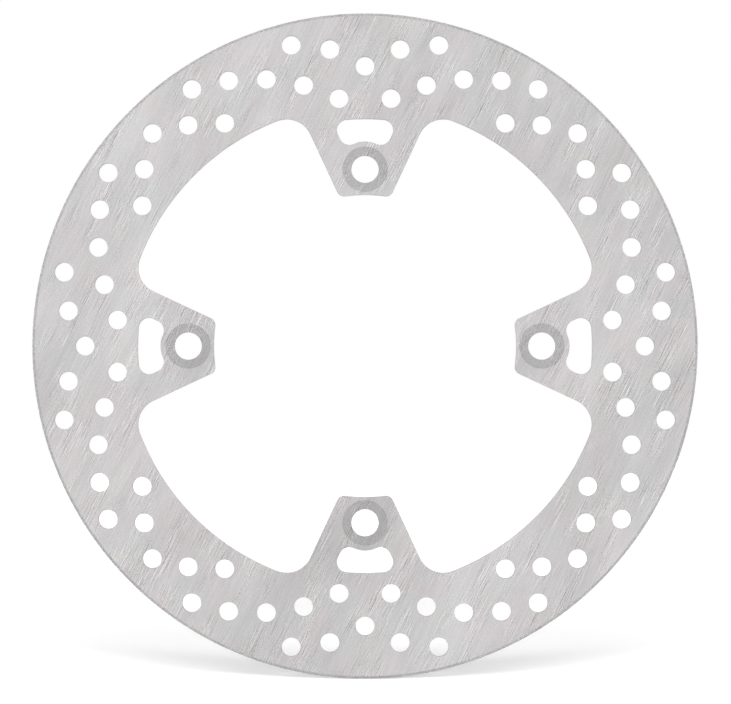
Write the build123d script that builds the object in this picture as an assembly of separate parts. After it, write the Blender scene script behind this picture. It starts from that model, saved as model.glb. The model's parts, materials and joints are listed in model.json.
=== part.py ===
from build123d import *
import math
import os

# A one-piece motorcycle brake disc: a flat perforated band with four mounting tabs.
# It stands upright, as it turns on the wheel. The disc axis is Y and the origin is on it,
# in the hub-side face. The outboard face, with the bolt seats, looks to -Y.
# Sizes are in millimetres and degrees.

# Braking band
disc_diameter = 256.0
disc_thickness = 6.0
band_width = 35.0
rim_chamfer = 1.0

# Bolt seats, one at the end of each tab
tab_count = 4
bolt_circle_diameter = 136.0
bolt_hole_diameter = 10.5
seat_diameter = 17.3
seat_depth = 0.3

# Tabs: straight flanks that spread from the bolt seat to the band
flank_angle = 25.0
flank_wall = 4.75
tip_wall = 1.2
tip_radius = 3.0
root_radius = 10.0

# Window through each tab, between its bolt seat and the band
window_height = 8.75
window_seat_wall = 2.0
window_side_wall = 9.6
window_radius = 4.0

# Vent holes, in curved rows
vent_diameter = 7.3
vent_rim_margin = 8.8
vent_edge_margin = 8.35
# Long row: from beside the tab's centre line to near the gap between two tabs
long_row_count = 5
long_row_start_angle = 6.0
long_row_end_gap = 11.0
long_row_bow = 5.6
# Crown row: from the tab's centre line to the rim
crown_row_count = 3
crown_row_end_angle = 13.8
crown_row_bow = 2.5
# Gap row: from the band's inner edge to the middle of the gap between two tabs
gap_row_count = 3
gap_row_start_gap = 12.8
gap_row_rim_margin = 12.25
gap_row_bow = 1.2

disc_radius = disc_diameter / 2
band_inner_radius = disc_radius - band_width
bolt_circle_radius = bolt_circle_diameter / 2
bolt_hole_radius = bolt_hole_diameter / 2
seat_radius = seat_diameter / 2
vent_radius = vent_diameter / 2
# The tips of the tabs are arcs about the disc axis, which centre the disc on its hub.
pilot_radius = bolt_circle_radius - seat_radius - tip_wall
window_seat_radius = seat_radius + window_seat_wall
window_outer_radius = bolt_circle_radius + window_seat_radius + window_height
half_pitch_angle = 180 / tab_count


def polar(radius, angle):
    """A point at an angle from the tab's centre line."""
    return Vector(radius, 0).rotate(Axis.Z, angle)


def wedge(side_distance):
    """A triangle about a tab's centre line, with its sides at this distance from the bolt."""
    half_angle = math.radians(flank_angle)
    apex = bolt_circle_radius - side_distance / math.sin(half_angle)
    half_width = (disc_diameter - apex) * math.tan(half_angle)
    corners = [(apex, 0), (disc_diameter, -half_width), (disc_diameter, half_width)]
    return Polygon(*corners, align=None)


def on_each_tab(sketch):
    return Sketch() + [Rot(Z=2 * half_pitch_angle * tab) * sketch for tab in range(tab_count)]


def corners_at(sketch, radius):
    """The sketch's corners that lie on a circle about the disc axis."""
    return [v for v in sketch.vertices() if math.isclose(Vector(v).length, radius, abs_tol=1e-4)]


def central_opening():
    """The space inside the band, less the tabs."""
    tabs = on_each_tab(wedge(seat_radius + flank_wall)) - Circle(pilot_radius)
    opening = Circle(band_inner_radius) - tabs
    opening = fillet(corners_at(opening, band_inner_radius), root_radius)
    return fillet(corners_at(opening, pilot_radius), tip_radius)


def tab_window():
    """Parallel to the flanks, between arcs about the bolt and about the disc axis."""
    window = wedge(seat_radius + flank_wall - window_side_wall) & Circle(window_outer_radius)
    window -= at_bolt(Circle(window_seat_radius))
    return fillet(window.vertices(), window_radius)


def at_bolt(sketch):
    return Pos(bolt_circle_radius, 0) * sketch


def row_points(start, end, bow, count):
    """Points evenly spaced along an arc that bows towards the rim from start to end."""
    row = SagittaArc(start, end, -bow)
    return [row @ (i / (count - 1)) for i in range(count)]


def half_pattern():
    """Vent centres from a tab's centre line to the middle of the gap beside it."""
    outer_radius = disc_radius - vent_rim_margin
    long_row = row_points(
        polar(window_outer_radius + vent_edge_margin, long_row_start_angle),
        polar(outer_radius, half_pitch_angle - long_row_end_gap),
        long_row_bow, long_row_count)
    crown_row = row_points(
        polar((window_outer_radius + disc_radius) / 2, 0),
        polar(outer_radius, crown_row_end_angle),
        crown_row_bow, crown_row_count)
    gap_row = row_points(
        polar(band_inner_radius + vent_edge_margin, half_pitch_angle - gap_row_start_gap),
        polar(disc_radius - gap_row_rim_margin, half_pitch_angle),
        gap_row_bow, gap_row_count)
    return long_row, crown_row, gap_row


def vent_pattern():
    """The half pattern and its mirror image, on each tab."""
    long_row, crown_row, gap_row = half_pattern()
    centres = long_row + crown_row + gap_row
    # The first hole of the crown row and the last of the gap row lie on the mirror lines.
    for hole in long_row + crown_row[1:] + gap_row[:-1]:
        centres.append(Vector(hole.X, -hole.Y))
    return on_each_tab(Sketch() + [Pos(hole) * Circle(vent_radius) for hole in centres])


def circular_edges(solid, radius):
    return [e for e in solid.edges().filter_by(GeomType.CIRCLE) if math.isclose(e.radius, radius)]


def disc_blank():
    """The flat disc with its chamfered rim, opening, windows and vent holes."""
    blank = extrude(Plane.XZ * Circle(disc_radius), disc_thickness)
    blank = chamfer(circular_edges(blank, disc_radius), rim_chamfer)
    cut_outs = central_opening() + on_each_tab(tab_window()) + vent_pattern()
    return blank - extrude(Plane.XZ * cut_outs, disc_thickness)


def bolt_seats():
    """The shallow seats sunk in the outboard face, and the holes through them."""
    outboard = Plane.XZ.offset(disc_thickness)
    seats = extrude(outboard * on_each_tab(at_bolt(Circle(seat_radius))), -seat_depth)
    holes = extrude(Plane.XZ * on_each_tab(at_bolt(Circle(bolt_hole_radius))), disc_thickness)
    return seats + holes


brake_disc = disc_blank() - bolt_seats()

os.makedirs("parts", exist_ok=True)
export_step(brake_disc, "parts/brake_disc.step")
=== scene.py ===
import json
import math

import bmesh
import bpy
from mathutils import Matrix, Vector


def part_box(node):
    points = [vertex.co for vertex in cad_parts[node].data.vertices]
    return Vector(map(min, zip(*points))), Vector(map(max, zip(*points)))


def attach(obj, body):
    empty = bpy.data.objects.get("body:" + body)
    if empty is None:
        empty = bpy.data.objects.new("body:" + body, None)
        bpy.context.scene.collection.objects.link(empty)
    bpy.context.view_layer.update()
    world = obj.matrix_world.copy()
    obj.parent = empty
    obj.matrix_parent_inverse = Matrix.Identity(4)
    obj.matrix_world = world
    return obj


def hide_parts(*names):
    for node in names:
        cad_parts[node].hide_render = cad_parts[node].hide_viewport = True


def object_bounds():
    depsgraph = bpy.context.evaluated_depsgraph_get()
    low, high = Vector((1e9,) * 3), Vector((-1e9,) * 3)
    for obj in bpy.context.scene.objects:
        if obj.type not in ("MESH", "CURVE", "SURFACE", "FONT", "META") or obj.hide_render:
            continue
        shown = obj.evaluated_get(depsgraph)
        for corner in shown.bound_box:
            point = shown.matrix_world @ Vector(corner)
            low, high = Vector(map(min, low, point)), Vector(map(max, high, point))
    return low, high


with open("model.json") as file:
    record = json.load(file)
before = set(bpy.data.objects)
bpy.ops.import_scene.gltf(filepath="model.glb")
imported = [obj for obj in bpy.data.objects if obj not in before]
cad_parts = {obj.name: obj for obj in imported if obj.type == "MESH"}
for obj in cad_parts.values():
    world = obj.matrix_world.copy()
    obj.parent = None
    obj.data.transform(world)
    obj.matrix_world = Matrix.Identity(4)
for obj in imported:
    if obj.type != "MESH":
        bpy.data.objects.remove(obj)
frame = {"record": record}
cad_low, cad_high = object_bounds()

# A perforated motorcycle brake disc of ground stainless steel, upright on a white floor.
# Lengths are in metres and angles in radians. The disc axis is Y, and the outboard face,
# with the bolt seats, looks to -Y. The disc is drawn flat, with the hub-side face at height 0
# and the outboard face on top, and is stood upright by the last steps of its node tree.

MM = 0.001

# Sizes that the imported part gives
disc_low, disc_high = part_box("brake_disc")
disc_radius = min(disc_high.x, disc_high.z, -disc_low.x, -disc_low.z)
thickness = disc_high.y - disc_low.y
hub_bolts = next(m["dims"] for m in frame["record"]["mounts"] if m["name"] == "hub_bolts")
tab_count = hub_bolts["count"]
bolt_circle_radius = hub_bolts["pcd_mm"] / 2 * MM
bolt_hole_radius = hub_bolts["hole_r_mm"] * MM

# Band, seats and edges
band_inner_radius = disc_radius - 35 * MM
rim_chamfer = 1.0 * MM
edge_break = 0.06 * MM
seat_radius = 8.65 * MM
seat_depth = 0.3 * MM
seat_break = 0.04 * MM

# Tabs, with straight flanks that spread from the bolt seat to the band
pilot_radius = bolt_circle_radius - seat_radius - 1.2 * MM
flank_angle = math.radians(25)
flank_side = seat_radius + 4.75 * MM
tip_radius = 3.0 * MM
root_radius = 10.0 * MM

# Window through each tab
window_side = flank_side - 9.6 * MM
window_seat_radius = seat_radius + 2.0 * MM
window_outer_radius = bolt_circle_radius + window_seat_radius + 8.75 * MM
window_radius = 4.0 * MM

# Vent holes, and how far their rows keep from the edges of the band
vent_radius = 3.65 * MM
vent_edge_margin = 8.35 * MM
vent_outer_radius = disc_radius - 8.8 * MM
half_pitch = math.pi / tab_count

# Round stretches leave their true arc by at most this much.
chord_gap = 0.005 * MM
weld_gap = 0.001 * MM


class Socket:
    """An output socket of a node. Arithmetic on it adds Math nodes to its tree."""

    def __init__(self, nodes, socket):
        self.nodes = nodes
        self.socket = socket

    def __getitem__(self, name):
        """Another output of the same node."""
        return Socket(self.nodes, self.socket.node.outputs[name])

    def math(self, operation, *terms, clamp=False):
        settings = {"operation": operation, "use_clamp": clamp}
        return self.nodes.add("ShaderNodeMath", settings, dict(enumerate(terms)))

    def __add__(self, other):
        return self.math("ADD", self, other)

    __radd__ = __add__

    def __sub__(self, other):
        return self.math("SUBTRACT", self, other)

    def __rsub__(self, other):
        return self.math("SUBTRACT", other, self)

    def __mul__(self, other):
        return self.math("MULTIPLY", self, other)

    __rmul__ = __mul__

    def __truediv__(self, other):
        return self.math("DIVIDE", self, other)


class Nodes:
    """The one way of adding nodes to a tree."""

    def __init__(self, tree):
        self.tree = tree

    def add(self, kind, settings=None, sockets=None):
        """A node of a kind, with its settings and the values or links of its sockets."""
        node = self.tree.nodes.new(kind)
        for name, value in (settings or {}).items():
            setattr(node, name, value)
        for key, value in (sockets or {}).items():
            self.feed(self.find(node.inputs, key), value)
        shown = [socket for socket in node.outputs if socket.enabled]
        return Socket(self, shown[0]) if shown else None

    def find(self, sockets, key):
        """A node's socket by its name, or by its number among those in use."""
        shown = [socket for socket in sockets if socket.enabled]
        return shown[key] if isinstance(key, int) else next(s for s in shown if s.name == key)

    def feed(self, socket, value):
        if isinstance(value, Socket):
            self.tree.links.new(value.socket, socket)
        elif isinstance(value, list):
            for each in value:
                self.feed(socket, each)
        else:
            socket.default_value = value

    def point(self, x, y, z=0.0):
        return self.add("ShaderNodeCombineXYZ", None, {"X": x, "Y": y, "Z": z})

    def vector(self, operation, *terms, scale=None):
        sockets = dict(enumerate(terms))
        if scale is not None:
            sockets["Scale"] = scale
        return self.add("ShaderNodeVectorMath", {"operation": operation}, sockets)


# ---- Outlines in the disc's plane, each drawn once, about the centre line of one tab ----

def polar(radius, angle):
    return Vector((radius * math.cos(angle), radius * math.sin(angle)))


def angle_of(point):
    return math.atan2(point.y, point.x)


def turn_step(radius):
    """How far a round stretch of this radius may turn from one point to the next."""
    return 2 * math.acos(1 - chord_gap / radius)


def round_count(radius):
    """Points on a full circle, the same in each quarter."""
    return 4 * math.ceil(math.pi / 2 / turn_step(radius))


def arc(centre, radius, start, end):
    count = math.ceil(abs(end - start) / turn_step(radius))
    return [centre + polar(radius, start + (end - start) * i / count) for i in range(count + 1)]


def joined(*arcs):
    """The points of arcs that follow each other, each shared point once."""
    points = []
    for point in [point for each in arcs for point in arc(*each)]:
        if not points or (point - points[-1]).length > weld_gap:
            points.append(point)
    return points


def mirror_image(points):
    return [Vector((point.x, -point.y)) for point in reversed(points)]


axis_point = Vector((0, 0))
bolt_point = Vector((bolt_circle_radius, 0))
flank_normal = flank_angle + math.pi / 2


def fillet_centre(side, circle_centre, circle_radius):
    """The point beyond the bolt, at this distance from it across the flank, that lies on a circle."""
    along = polar(1, flank_angle)
    across = bolt_point - circle_centre + polar(side, flank_normal)
    reach = across.dot(along)
    travel = math.sqrt(reach ** 2 - across.length_squared + circle_radius ** 2) - reach
    return circle_centre + across + along * travel


def opening_outline():
    """One tab's share of the central opening, from the gap before the tab to the gap after it."""
    tip = fillet_centre(flank_side - tip_radius, axis_point, pilot_radius + tip_radius)
    root = fillet_centre(flank_side + root_radius, axis_point, band_inner_radius - root_radius)
    upper = joined(
        (axis_point, pilot_radius, 0, angle_of(tip)),
        (tip, tip_radius, angle_of(tip) + math.pi, flank_normal),
        (root, root_radius, flank_normal - math.pi, angle_of(root)),
        (axis_point, band_inner_radius, angle_of(root), half_pitch))
    return mirror_image(upper) + upper[1:-1]


def window_outline():
    """The window between a tab's bolt seat and the band."""
    side = window_side - window_radius
    outer = fillet_centre(side, axis_point, window_outer_radius - window_radius)
    inner = fillet_centre(side, bolt_point, window_seat_radius + window_radius)
    seat_angle = angle_of(inner - bolt_point)
    upper = joined(
        (axis_point, window_outer_radius, 0, angle_of(outer)),
        (outer, window_radius, angle_of(outer), flank_normal),
        (inner, window_radius, flank_normal, seat_angle + math.pi),
        (bolt_point, window_seat_radius, seat_angle, 0))
    return upper + mirror_image(upper)[1:-1]


def draw_outlines():
    """A curve object with the opening's share as an open line and the window as a closed one."""
    curve = bpy.data.curves.new("tab_outlines", "CURVE")
    curve.dimensions = "3D"
    for points, closed in ((opening_outline(), False), (window_outline(), True)):
        spline = curve.splines.new("POLY")
        spline.points.add(len(points) - 1)
        for place, point in zip(spline.points, points):
            place.co = (point.x, point.y, 0, 1)
        spline.use_cyclic_u = closed
    outlines = bpy.data.objects.new("tab_outlines", curve)
    bpy.context.scene.collection.objects.link(outlines)
    return outlines


# ---- The disc, by a Geometry Nodes tree ----

class ShapeTree(Nodes):
    """A Geometry Nodes tree with named inputs."""

    kinds = {int: "Int", float: "Float", Vector: "Vector", bpy.types.Material: "Material"}

    def __init__(self, name):
        super().__init__(bpy.data.node_groups.new(name, "GeometryNodeTree"))
        self.sides = self.tree.nodes.new("NodeGroupInput")
        self.values = {}

    def geometry(self):
        self.tree.interface.new_socket("Geometry", in_out="INPUT", socket_type="NodeSocketGeometry")
        return Socket(self, self.sides.outputs["Geometry"])

    def size(self, name, value):
        """A named input, and the value that the modifier gives it."""
        kind = "NodeSocket" + self.kinds[type(value)]
        socket = self.tree.interface.new_socket(name, in_out="INPUT", socket_type=kind)
        self.values[socket.identifier] = value
        return Socket(self, self.sides.outputs[name])

    def finish(self, geometry):
        self.tree.interface.new_socket("Geometry", in_out="OUTPUT", socket_type="NodeSocketGeometry")
        self.feed(self.tree.nodes.new("NodeGroupOutput").inputs[0], geometry)

    def joined(self, *parts):
        return self.add("GeometryNodeJoinGeometry", None, {"Geometry": list(parts)})

    def realized(self, geometry):
        return self.add("GeometryNodeRealizeInstances", None, {"Geometry": geometry})

    def round_axis(self, geometry, count):
        """Copies of a geometry, evenly spaced round the disc axis."""
        one = self.add("GeometryNodeGeometryToInstance", None, {"Geometry": geometry})
        copies = self.add("GeometryNodeDuplicateElements", {"domain": "INSTANCE"},
                          {"Geometry": one, "Amount": count})
        turn = copies["Duplicate Index"] * (2 * math.pi) / count
        sockets = {"Instances": copies, "Rotation": self.point(0, 0, turn), "Local Space": False}
        return self.realized(self.add("GeometryNodeRotateInstances", None, sockets))

    def level(self, curves):
        """Curves whose normals lie in the disc's plane, pointing out of a loop drawn anticlockwise."""
        return self.add("GeometryNodeSetCurveNormal", {"mode": "Z_UP"}, {"Curve": curves})

    def circle(self, radius, count):
        sockets = {"Resolution": count, "Radius": radius}
        return self.level(self.add("GeometryNodeCurvePrimitiveCircle", None, sockets))

    def widened(self, curves, distance):
        """Loops grown outwards, or shrunk by a negative distance."""
        normal = self.add("GeometryNodeInputNormal")
        offset = self.vector("SCALE", normal, scale=distance)
        return self.add("GeometryNodeSetPosition", None, {"Geometry": curves, "Offset": offset})

    def swept(self, curves, *corners):
        """A wall round each loop. Its corners are (distance outwards, height) pairs."""
        switch = self.tree.nodes.new("GeometryNodeIndexSwitch")
        switch.data_type = "VECTOR"
        while len(switch.index_switch_items) < len(corners):
            switch.index_switch_items.new()
        self.feed(switch.inputs["Index"], self.add("GeometryNodeInputIndex"))
        for number, (outwards, height) in enumerate(corners):
            self.feed(switch.inputs[number + 1], self.point(outwards, 0.0 - height))
        sockets = {"Count": len(corners), "Position": Socket(self, switch.outputs[0])}
        corner_points = self.add("GeometryNodePoints", None, sockets)
        section = self.add("GeometryNodePointsToCurves", None, {"Points": corner_points})
        return self.add("GeometryNodeCurveToMesh", None, {"Curve": curves, "Profile Curve": section})

    def filled(self, loops, height):
        """A flat face inside the outer loop and outside the others."""
        face = self.add("GeometryNodeFillCurve", {"mode": "TRIANGLES"}, {"Curve": loops})
        raised = {"Geometry": face, "Translation": self.point(0, 0, height)}
        return self.add("GeometryNodeTransform", None, raised)

    def marked(self, mesh, finish):
        """A mesh whose faces carry the number of their finish."""
        sockets = {"Geometry": mesh, "Name": "finish", "Value": finish}
        settings = {"data_type": "INT", "domain": "FACE"}
        return self.add("GeometryNodeStoreNamedAttribute", settings, sockets)


def row_tree():
    """Evenly spaced points along an arc that bows towards the rim from its start to its end."""
    tree = ShapeTree("vent row")
    start = tree.size("Start", Vector())
    end = tree.size("End", Vector())
    bow = tree.size("Bow", 0.0)
    count = tree.size("Count", 2)
    chord = tree.vector("SUBTRACT", end, start)
    side = tree.vector("NORMALIZE", tree.vector("CROSS_PRODUCT", chord, (0, 0, 1)))
    chord_middle = tree.vector("SCALE", tree.vector("ADD", start, end), scale=0.5)
    middle = tree.vector("ADD", chord_middle, tree.vector("SCALE", side, scale=bow))
    sockets = {"Resolution": count, "Start": start, "Middle": middle, "End": end}
    row = tree.add("GeometryNodeCurveArc", {"mode": "POINTS"}, sockets)
    tree.finish(tree.add("GeometryNodeCurveToPoints", {"mode": "EVALUATED"}, {"Curve": row}))
    return tree.tree


def vent_rows():
    """Each row's name, start, end, bow and count, from a tab's centre line to the gap beside it."""
    middle_radius = (window_outer_radius + disc_radius) / 2
    return (
        ("Long row",
         polar(window_outer_radius + vent_edge_margin, math.radians(6)),
         polar(vent_outer_radius, half_pitch - math.radians(11)), 5.6 * MM, 5),
        ("Crown row",
         polar(middle_radius, 0),
         polar(vent_outer_radius, math.radians(13.8)), 2.5 * MM, 3),
        ("Gap row",
         polar(band_inner_radius + vent_edge_margin, half_pitch - math.radians(12.8)),
         polar(disc_radius - 12.25 * MM, half_pitch), 1.2 * MM, 3))


def vent_centres(tree, tabs, weld):
    """The rows and their mirror image on each tab, with each shared hole once."""
    rows = []
    group = row_tree()
    for name, start, end, bow, count in vent_rows():
        sockets = {
            "Start": tree.size(name + " start", start.to_3d()),
            "End": tree.size(name + " end", end.to_3d()),
            "Bow": tree.size(name + " bow", bow),
            "Count": tree.size(name + " count", count)}
        rows.append(tree.add("GeometryNodeGroup", {"node_tree": group}, sockets))
    half = tree.joined(*rows)
    mirrored = tree.add("GeometryNodeTransform", None, {"Geometry": half, "Scale": (1, -1, 1)})
    everywhere = tree.round_axis(tree.joined(half, mirrored), tabs)
    return tree.add("GeometryNodeMergeByDistance", None, {"Geometry": everywhere, "Distance": weld})


def disc_tree(finishes):
    """The tree that makes the whole disc from the outlines of one tab."""
    tree = ShapeTree("perforated disc")
    outlines = tree.geometry()
    tabs = tree.size("Tabs", tab_count)
    top = tree.size("Thickness", thickness)
    rim_radius = tree.size("Disc radius", disc_radius)
    chamfer = tree.size("Rim chamfer", rim_chamfer)
    small = tree.size("Edge break", edge_break)
    bolt_circle = tree.size("Bolt circle radius", bolt_circle_radius)
    bore_radius = tree.size("Bolt hole radius", bolt_hole_radius)
    seat_edge = tree.size("Seat radius", seat_radius)
    seat_floor = top - tree.size("Seat depth", seat_depth)
    seat_small = tree.size("Seat edge break", seat_break)
    hole_radius = tree.size("Vent radius", vent_radius)
    weld = tree.size("Weld distance", weld_gap)
    materials = [tree.size(finish.name, finish) for finish in finishes]

    # The windows are the closed outlines. The open one, copied round, closes the central opening.
    closed = tree.add("GeometryNodeInputSplineCyclic")
    sorted_out = tree.add("GeometryNodeSeparateGeometry", {"domain": "CURVE"},
                          {"Geometry": outlines, "Selection": closed})
    windows = tree.round_axis(sorted_out, tabs)
    shares = tree.round_axis(sorted_out["Inverted"], tabs)
    edge_points = tree.add("GeometryNodeCurveToPoints", {"mode": "EVALUATED"}, {"Curve": shares})
    edge_line = tree.add("GeometryNodePointsToCurves", None, {"Points": edge_points})
    opening = tree.add("GeometryNodeSetSplineCyclic", None, {"Geometry": edge_line, "Cyclic": True})
    cut_outs = tree.level(tree.joined(opening, windows))

    vents = vent_centres(tree, tabs, weld)
    first_bolt = {"Count": 1, "Position": tree.point(bolt_circle, 0)}
    bolts = tree.round_axis(tree.add("GeometryNodePoints", None, first_bolt), tabs)
    rim = tree.circle(rim_radius, round_count(disc_radius))
    vent = tree.circle(hole_radius, round_count(vent_radius))
    bore = tree.circle(bore_radius, round_count(seat_radius))

    def at_each(points, geometry):
        sockets = {"Points": points, "Instance": geometry}
        return tree.add("GeometryNodeInstanceOnPoints", None, sockets)

    # The two ground faces, each bounded by the edge breaks, the rim chamfer and the bolt holes.
    openings = tree.joined(tree.widened(cut_outs, small), at_each(vents, tree.widened(vent, small)))
    inside_rim = tree.joined(tree.widened(rim, 0.0 - chamfer), openings)
    seats = at_each(bolts, tree.widened(bore, seat_edge - bore_radius + seat_small))
    bores = at_each(bolts, tree.widened(bore, small))
    outboard_face = tree.filled(tree.realized(tree.joined(inside_rim, seats)), top)
    hub_face = tree.filled(tree.realized(tree.joined(inside_rim, bores)), 0.0)

    # The walls between them, each with a break along its edges.
    cut_section = ((small, 0.0), (0.0, small), (0.0, top - small), (small, top))
    cut_walls = tree.joined(
        tree.swept(cut_outs, *cut_section),
        at_each(vents, tree.swept(vent, *cut_section)),
        at_each(bolts, tree.swept(
            bore, (small, 0.0), (0.0, small), (0.0, seat_floor - small), (small, seat_floor))))
    rim_wall = tree.swept(
        rim, (0.0 - chamfer, 0.0), (0.0, chamfer), (0.0, top - chamfer), (0.0 - chamfer, top))
    seat_wall = seat_edge - bore_radius
    seat_faces = at_each(bolts, tree.swept(
        bore, (small, seat_floor), (seat_wall, seat_floor), (seat_wall, top - seat_small),
        (seat_wall + seat_small, top)))

    parts = (tree.joined(outboard_face, hub_face), cut_walls, rim_wall, seat_faces)
    solid = tree.realized(tree.joined(*(tree.marked(part, i) for i, part in enumerate(parts))))
    welded = tree.add("GeometryNodeMergeByDistance", None, {"Geometry": solid, "Distance": weld})
    upright = tree.add("GeometryNodeTransform", None,
                       {"Geometry": welded, "Rotation": (math.pi / 2, 0, 0)})
    finished = tree.realized(upright)
    finish = tree.add("GeometryNodeInputNamedAttribute", {"data_type": "INT"}, {"Name": "finish"})
    for number, material in enumerate(materials):
        chosen = tree.add("FunctionNodeCompare", {"data_type": "INT", "operation": "GREATER_EQUAL"},
                          {"A": finish, "B": number})
        finished = tree.add("GeometryNodeSetMaterial", None,
                            {"Geometry": finished, "Selection": chosen, "Material": material})
    tree.finish(finished)
    return tree


def make_disc(finishes):
    """The finished disc as one plain closed mesh."""
    outlines = draw_outlines()
    tree = disc_tree(finishes)
    modifier = outlines.modifiers.new("disc", "NODES")
    modifier.node_group = tree.tree
    for identifier, value in tree.values.items():
        modifier[identifier] = value
    bpy.context.view_layer.update()
    evaluated = outlines.evaluated_get(bpy.context.evaluated_depsgraph_get())
    mesh = bpy.data.meshes.new_from_object(evaluated)
    mesh.materials.pop(index=0)
    bpy.data.objects.remove(outlines)
    mesh.attributes.remove(mesh.attributes["finish"])
    face_outwards(mesh)
    mesh.shade_smooth()
    mesh.set_sharp_from_angle(angle=math.radians(30))
    mesh.name = "brake_disc_finished"
    disc = bpy.data.objects.new("brake_disc_finished", mesh)
    bpy.context.scene.collection.objects.link(disc)
    return disc


def face_outwards(mesh):
    shape = bmesh.new()
    shape.from_mesh(mesh)
    bmesh.ops.recalc_face_normals(shape, faces=shape.faces)
    shape.to_mesh(mesh)
    shape.free()


# ---- Finishes ----

# The grinding lines of both faces run straight, at this angle above the horizontal.
grinding_angle = math.radians(63.3)
line_width = 0.14 * MM
line_length = 12 * MM
dash_length = 0.55 * MM
scratch_width = 0.16 * MM
scratch_length = 11 * MM

# The flank of a line lies this far beside it, and has this share of its strength.
flank_distance = 0.40 * MM
flank_share = 0.32

# Soft areas painted brighter or darker: the radius and the angle in degrees of each
# centre, its reach along and across the grinding lines, and how much brighter it is. Those at
# the upper left and left are a painted highlight on the key lamp's side. The others, at the right
# and the bottom, are simply brighter or darker.
painted_light_areas = (
    (112 * MM, 134, 85 * MM, 60 * MM, 0.055),
    (92 * MM, 168, 60 * MM, 26 * MM, 0.050),
    (104 * MM, 288, 60 * MM, 22 * MM, 0.065),
    (74 * MM, 268, 40 * MM, 36 * MM, -0.090),
    (70 * MM, 2, 36 * MM, 30 * MM, -0.045),
    (102 * MM, 249, 70 * MM, 26 * MM, -0.040),
    (112 * MM, 45, 90 * MM, 60 * MM, -0.030))


class Finish(Nodes):
    """A steel finish: its node tree, and where a point lies on the disc."""

    def __init__(self, name):
        self.material = bpy.data.materials.new(name)
        self.material.use_nodes = True
        super().__init__(self.material.node_tree)
        self.tree.nodes.clear()
        self.place = self.add("ShaderNodeTexCoord")["Object"]

    def turned(self):
        """The place on the disc, measured with X along the grinding lines."""
        sockets = {"Vector": self.place, "Rotation": (0, grinding_angle, 0)}
        return self.add("ShaderNodeMapping", None, sockets)

    def parts(self, place):
        """A place's X, Y and Z."""
        return self.add("ShaderNodeSeparateXYZ", None, {"Vector": place})

    def even_noise(self, place, detail):
        """Smooth noise about 0, with grains about one unit wide."""
        sockets = {"Vector": place, "Scale": 1.0, "Detail": detail, "Roughness": 0.5}
        return self.add("ShaderNodeTexNoise", None, sockets) - 0.5

    def noise(self, place, size, detail, shift):
        """Smooth noise about 0, with grains of this size along X, Y and Z."""
        in_grains = self.vector("DIVIDE", place, size)
        return self.even_noise(self.vector("ADD", in_grains, (shift, shift, shift)), detail)

    def rows(self, place, width, length, shift):
        """Noise about 0 in straight rows along X, about this wide, that change over this length."""
        parts = self.parts(place)
        across = parts["Z"] / width + shift
        uneven = self.add("ShaderNodeTexNoise", {"noise_dimensions": "1D"},
                          {"W": across, "Scale": 0.45, "Detail": 0.0})
        shifted = across + uneven * 0.9
        row = shifted.math("FLOOR", shifted)
        # Each row reads a line of the noise that lies far from its neighbour's.
        spot = self.point(parts["X"] / length + shift, row * 7.618, parts["Y"] / (5 * MM))
        return self.even_noise(spot, 1.0)

    def above(self, value, low, high):
        """0 below low, 1 above high, and smooth between them."""
        sockets = {"Value": value, "From Min": low, "From Max": high}
        return self.add("ShaderNodeMapRange", {"interpolation_type": "SMOOTHSTEP"}, sockets)

    def blended(self, first, second, share):
        """One colour turning into another."""
        sockets = {"Factor": share, "A": first, "B": second}
        return self.add("ShaderNodeMix", {"data_type": "RGBA"}, sockets)

    def tint(self, first, second, shift):
        """A colour that wanders between two tints, over about a centimetre."""
        wander = self.noise(self.place, (11 * MM, 5 * MM, 11 * MM), 2.0, shift)
        return self.blended(first, second, self.above(wander, -0.2, 0.2))

    def steel(self, colour, shade, roughness, relief, relief_depth):
        """Bare metal: its colour times a shade, its roughness, and relief of a depth in metres."""
        tinted = self.vector("SCALE", colour, scale=shade)
        normal = self.add("ShaderNodeBump", None, {"Height": relief, "Distance": relief_depth})
        sockets = {"Base Color": tinted, "Metallic": 1.0, "Roughness": roughness, "Normal": normal}
        shader = self.add("ShaderNodeBsdfPrincipled", None, sockets)
        self.add("ShaderNodeOutputMaterial", None, {"Surface": shader})
        return self.material


def scratches(finish, place, busy):
    """Thin lines and short dashes, and the brighter and darker scratches of the busy clusters."""
    def deep(shift):
        """The few rows that stand out."""
        return finish.above(finish.rows(place, scratch_width, scratch_length, shift), 0.10, 0.24)

    thin = finish.rows(place, line_width, line_length, 3.1)
    dashes = finish.rows(place, line_width, dash_length, 71.9)
    lines = thin * (0.29 + busy * 0.60) + dashes * (0.32 + busy * 0.52)
    return lines + (0.12 + busy) * (deep(37.9) * 0.40 - deep(51.3) * 0.31)


def grinding_lines(finish, strength):
    """Straight grinding lines, as a shade about 0 that also gives their relief. Under thin lines,
    dashes, scratches and grain, which are strongest in clusters, lie broad soft lines. What is
    cut has an opposite flank beside it."""
    place = finish.turned()
    broad = finish.noise(place, (16 * MM, 1 * MM, 1.3 * MM), 2.0, 11.7)
    grain = finish.noise(place, (0.24 * MM, 1 * MM, 0.14 * MM), 0.0, 67.1)
    cluster = finish.noise(place, (20 * MM, 4 * MM, 6 * MM), 1.0, 23.3)
    busy = finish.above(cluster, -0.08, 0.14)
    beside = finish.vector("ADD", place, (0, 0, flank_distance))
    cut = scratches(finish, place, busy) - scratches(finish, beside, busy) * flank_share
    return (cut + broad * 0.12 + grain * (0.60 + busy * 0.85)) * strength


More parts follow.
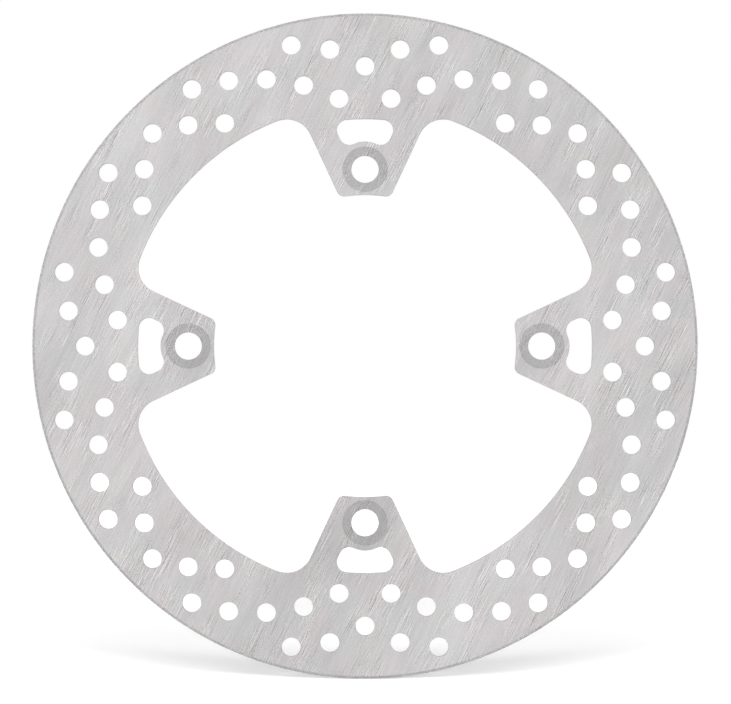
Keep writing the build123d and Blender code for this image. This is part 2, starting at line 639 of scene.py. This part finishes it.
def painted_light_area(finish, radius, angle, along, across):
    """The mask of one painted light area: 1 at a polar place on the face, falling to 0 at these
    reaches.
    """
    x, z = polar(radius, angle)
    sockets = {"Vector": finish.place, "Location": (x, 0, z), "Rotation": (0, -grinding_angle, 0),
               "Scale": (along, 1.0, across)}
    apart = finish.add("ShaderNodeMapping", {"vector_type": "TEXTURE"}, sockets)
    return finish.above(1.0 - finish.vector("LENGTH", apart)["Value"], 0.0, 1.0)


def patches(finish):
    """Broad soft bands along the grinding lines, where the belt pressed more or less, and the
    painted light areas, with a painted highlight at the upper left.
    """
    place = finish.turned()
    wide = finish.noise(place, (60 * MM, 9 * MM, 22 * MM), 1.0, 5.9)
    narrow = finish.noise(place, (30 * MM, 9 * MM, 7 * MM), 1.0, 83.7)
    shade = wide * 0.27 + narrow * 0.20
    # The painted light areas: a painted highlight at the upper left and left, and brighter and darker
    # spots elsewhere.
    for radius, degrees, along, across, change in painted_light_areas:
        shade = shade + painted_light_area(finish, radius, math.radians(degrees), along, across) * change
    return shade


def ground_face():
    """The flat faces, ground in straight lines."""
    finish = Finish("ground_face")
    lines = grinding_lines(finish, 1.06)
    # The patches bring in the painted highlight at the upper left.
    shade = 1.0 + lines + patches(finish)
    rose_green = finish.tint((0.640, 0.603, 0.620, 1), (0.619, 0.625, 0.619, 1), 5.7)
    warm_cool = finish.tint((0.639, 0.613, 0.609, 1), (0.621, 0.613, 0.630, 1), 91.7)
    colour = finish.blended(rose_green, warm_cool, 0.5)
    return finish.steel(colour, shade, 0.36 - lines * 0.4, lines, 0.02 * MM)


def bolt_seat():
    """The spot faces under the bolt heads: darker, and marked by the same grinding."""
    finish = Finish("bolt_seat")
    lines = grinding_lines(finish, 0.98)
    # The patches also lay the painted highlight and the other painted areas on the seats.
    shade = 1.0 + lines + patches(finish) * 0.7
    return finish.steel((0.490, 0.480, 0.483), shade, 0.42 - lines * 0.4, lines, 0.01 * MM)


def turned_rim():
    """The rim, with fine lines left by the turning tool, and its chamfers, with small nicks."""
    finish = Finish("turned_rim")
    lines = finish.noise(finish.place, (30 * MM, 0.22 * MM, 30 * MM), 2.0, 7.3)
    patch = finish.noise(finish.place, (9 * MM, 9 * MM, 9 * MM), 2.0, 17.3)
    nicks = finish.noise(finish.place, (0.45 * MM, 0.45 * MM, 0.45 * MM), 0.0, 53.9)
    depth = finish.parts(finish.place)["Y"] - (disc_low.y + disc_high.y) / 2
    chamfer_start = thickness / 2 - rim_chamfer
    blur = 0.05 * MM
    chamfered = finish.above(depth.math("ABSOLUTE", depth), chamfer_start - blur, chamfer_start + blur)
    lines_shade = lines * (0.55 - chamfered * 0.37)
    nicks_shade = nicks * (0.15 + chamfered * 1.05)
    shade = 1.0 + lines_shade + patch * 0.34 + nicks_shade
    return finish.steel((0.511, 0.501, 0.507), shade, 0.38 - lines * 0.3, lines, 0.02 * MM)


def cut_wall():
    """The walls of the holes, windows and central opening, with striations across the thickness."""
    finish = Finish("cut_wall")
    lines = finish.noise(finish.place, (0.3 * MM, 9 * MM, 0.3 * MM), 2.0, 29.7)
    patch = finish.noise(finish.place, (5 * MM, 3 * MM, 5 * MM), 2.0, 41.3)
    shade = 1.0 + lines * 0.25 + patch * 0.12
    return finish.steel((0.461, 0.448, 0.439), shade, 0.42 - lines * 0.3, lines, 0.03 * MM)


# ---- Floor, light and camera ----

def make_floor():
    """A wide floor under the rim. It looks white to the camera, and keeps the disc's shadow."""
    half = 6.0
    corners = [(-half, -half), (half, -half), (half, half), (-half, half)]
    mesh = bpy.data.meshes.new("floor")
    mesh.from_pydata([(x, y, cad_low.z) for x, y in corners], [], [(0, 1, 2, 3)])
    floor = bpy.data.objects.new("floor", mesh)
    bpy.context.scene.collection.objects.link(floor)
    material = bpy.data.materials.new("floor_white")
    material.use_nodes = True
    nodes = Nodes(material.node_tree)
    material.node_tree.nodes.clear()
    seen = nodes.add("ShaderNodeLightPath")["Is Camera Ray"]
    glow = nodes.vector("SCALE", (1.0, 1.0, 1.0), scale=seen * 0.22)
    sockets = {"Base Color": (0.92, 0.92, 0.92, 1), "Roughness": 0.9, "Specular IOR Level": 0.0,
               "Emission Color": glow, "Emission Strength": 1.0}
    shader = nodes.add("ShaderNodeBsdfPrincipled", None, sockets)
    nodes.add("ShaderNodeOutputMaterial", None, {"Surface": shader})
    mesh.materials.append(material)


def make_world():
    """White all round to the camera, and to metal. Softer as a light."""
    world = bpy.data.worlds.new("studio")
    bpy.context.scene.world = world
    world.use_nodes = True
    nodes = Nodes(world.node_tree)
    world.node_tree.nodes.clear()
    ray = nodes.add("ShaderNodeLightPath")
    seen_or_mirrored = ray["Is Camera Ray"] + ray["Is Glossy Ray"]
    seen = ray.math("ADD", seen_or_mirrored, ray["Is Transmission Ray"], clamp=True)
    ambient = 0.46
    background = nodes.add("ShaderNodeBackground", None, {
        "Color": (1, 1, 1, 1), "Strength": ambient + seen * (1 - ambient)})
    nodes.add("ShaderNodeOutputWorld", None, {"Surface": background})


def make_lamp(name, place, width, power):
    """A square soft lamp that faces the disc's centre. It shows in the metal, not on the floor."""
    data = bpy.data.lights.new(name, "AREA")
    data.shape = "SQUARE"
    data.size = width
    data.energy = power
    lamp = bpy.data.objects.new(name, data)
    bpy.context.scene.collection.objects.link(lamp)
    lamp.location = place
    lamp.rotation_euler = (-Vector(place)).to_track_quat("-Z", "Y").to_euler()
    lamp.visible_diffuse = False


def make_sun():
    """A low soft light from the front, for the floor alone. It throws the disc's shadow back."""
    floor_level = 0.54
    height = math.radians(6.5)
    data = bpy.data.lights.new("sun", "SUN")
    data.angle = math.radians(20)
    data.energy = floor_level * math.pi / math.sin(height)
    sun = bpy.data.objects.new("sun", data)
    bpy.context.scene.collection.objects.link(sun)
    sun.rotation_euler = (math.pi / 2 - height, 0, 0)
    sun.visible_glossy = False


def make_camera():
    """Square on to the outboard face through a long lens."""
    view_width = 281.1 * MM
    aim = Vector((0.18 * MM, cad_low.y, -2.28 * MM))
    distance = 3.0
    data = bpy.data.cameras.new("camera")
    data.sensor_width = 36.0
    data.lens = data.sensor_width * distance / view_width
    camera = bpy.data.objects.new("camera", data)
    bpy.context.scene.collection.objects.link(camera)
    camera.location = aim - Vector((0, distance, 0))
    camera.rotation_euler = (math.pi / 2, 0, 0)
    bpy.context.scene.camera = camera


bpy.context.scene.view_settings.view_transform = "Standard"
make_camera()
make_world()
make_floor()
make_sun()
make_lamp("key_lamp", (-0.9, -1.1, 1.2), 0.8, 2.5)
make_lamp("back_lamp", (0.8, 1.2, 1.0), 0.8, 2.5)

disc = make_disc([ground_face(), cut_wall(), turned_rim(), bolt_seat()])
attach(disc, "root")
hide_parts("brake_disc")
